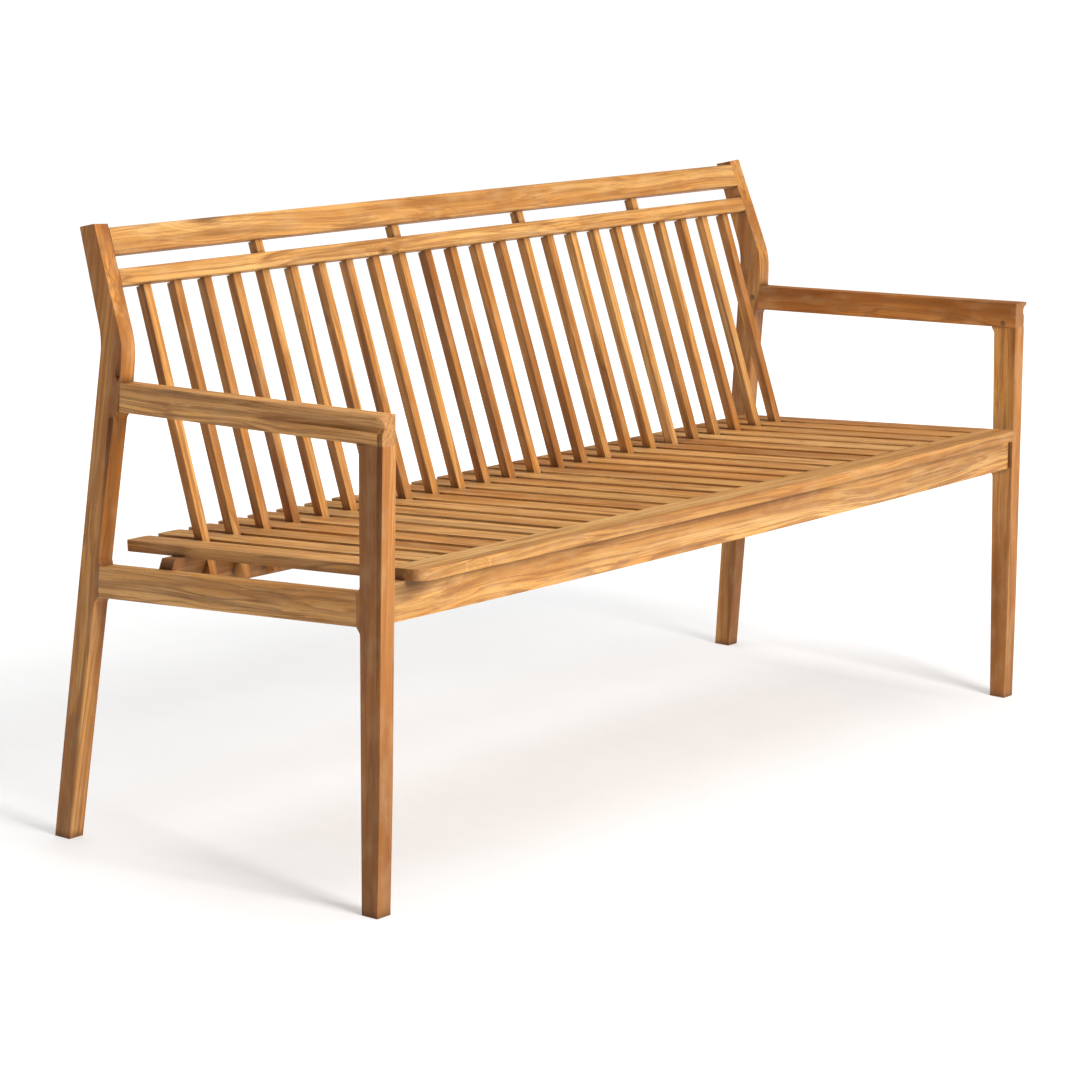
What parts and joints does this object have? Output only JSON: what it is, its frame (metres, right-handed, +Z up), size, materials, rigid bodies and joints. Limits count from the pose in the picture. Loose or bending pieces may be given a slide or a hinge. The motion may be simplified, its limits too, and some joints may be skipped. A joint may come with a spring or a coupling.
{
  "type": "garden bench",
  "caption": "Slatted wooden garden bench with an open leaning back, tapered legs, slim armrests with a scooped outer lip, and a bowed front board over an apron.",
  "frame": {"origin": "on the ground, in the middle of the footprint", "axes": "+X along the bench to the sitter's left, +Y to the back, +Z up; left and right are the sitter's"},
  "size_m": [1.556, 0.6159, 0.8348],
  "materials": {
    "frame_wood": "oiled, fine sanded, warm honey brown with darker streaks",
    "seat_wood": "oiled, fine sanded, each slat a slightly different shade",
    "back_wood": "oiled, fine sanded, straight grain",
    "dowel_wood": "plain turned dowel",
    "peg_wood": "dark end grain",
    "screw_steel": "stainless, satin"
  },
  "bodies": {
    "root": {"left_front_leg": "frame_wood", "right_front_leg": "frame_wood", "left_back_post": "frame_wood", "right_back_post": "frame_wood", "left_armrest": "frame_wood", "right_armrest": "frame_wood", "left_side_rail": "frame_wood", "right_side_rail": "frame_wood", "front_apron": "frame_wood", "rear_seat_rail": "frame_wood", "top_back_rail": "frame_wood", "second_back_rail": "frame_wood", "seat_front_board": "seat_wood", "seat_slat_01": "seat_wood", "seat_slat_02": "seat_wood", "seat_slat_03": "seat_wood", "seat_slat_04": "seat_wood", "seat_slat_05": "seat_wood", "seat_slat_06": "seat_wood", "seat_slat_07": "seat_wood", "seat_slat_08": "seat_wood", "seat_slat_09": "seat_wood", "seat_slat_10": "seat_wood", "seat_slat_11": "seat_wood", "seat_slat_12": "seat_wood", "seat_slat_13": "seat_wood", "seat_slat_14": "seat_wood", "seat_slat_15": "seat_wood", "seat_slat_16": "seat_wood", "seat_slat_17": "seat_wood", "seat_slat_18": "seat_wood", "seat_slat_19": "seat_wood", "seat_slat_20": "seat_wood", "seat_slat_21": "seat_wood", "seat_slat_22": "seat_wood", "seat_slat_23": "seat_wood", "seat_slat_24": "seat_wood", "seat_slat_25": "seat_wood", "long_back_slat_05": "back_wood", "long_back_slat_10": "back_wood", "long_back_slat_15": "back_wood", "long_back_slat_20": "back_wood", "back_slats_01_to_04": "back_wood", "back_slats_06_to_09": "back_wood", "back_slats_11_to_14": "back_wood", "back_slats_16_to_19": "back_wood", "back_slats_21_to_24": "back_wood", "frame_dowels": "dowel_wood", "seat_slat_dowels": "dowel_wood", "back_slat_dowels": "dowel_wood", "joint_pegs": "peg_wood", "seat_slat_screws": "screw_steel", "back_slat_screws": "screw_steel"}
  },
  "joints": []
}
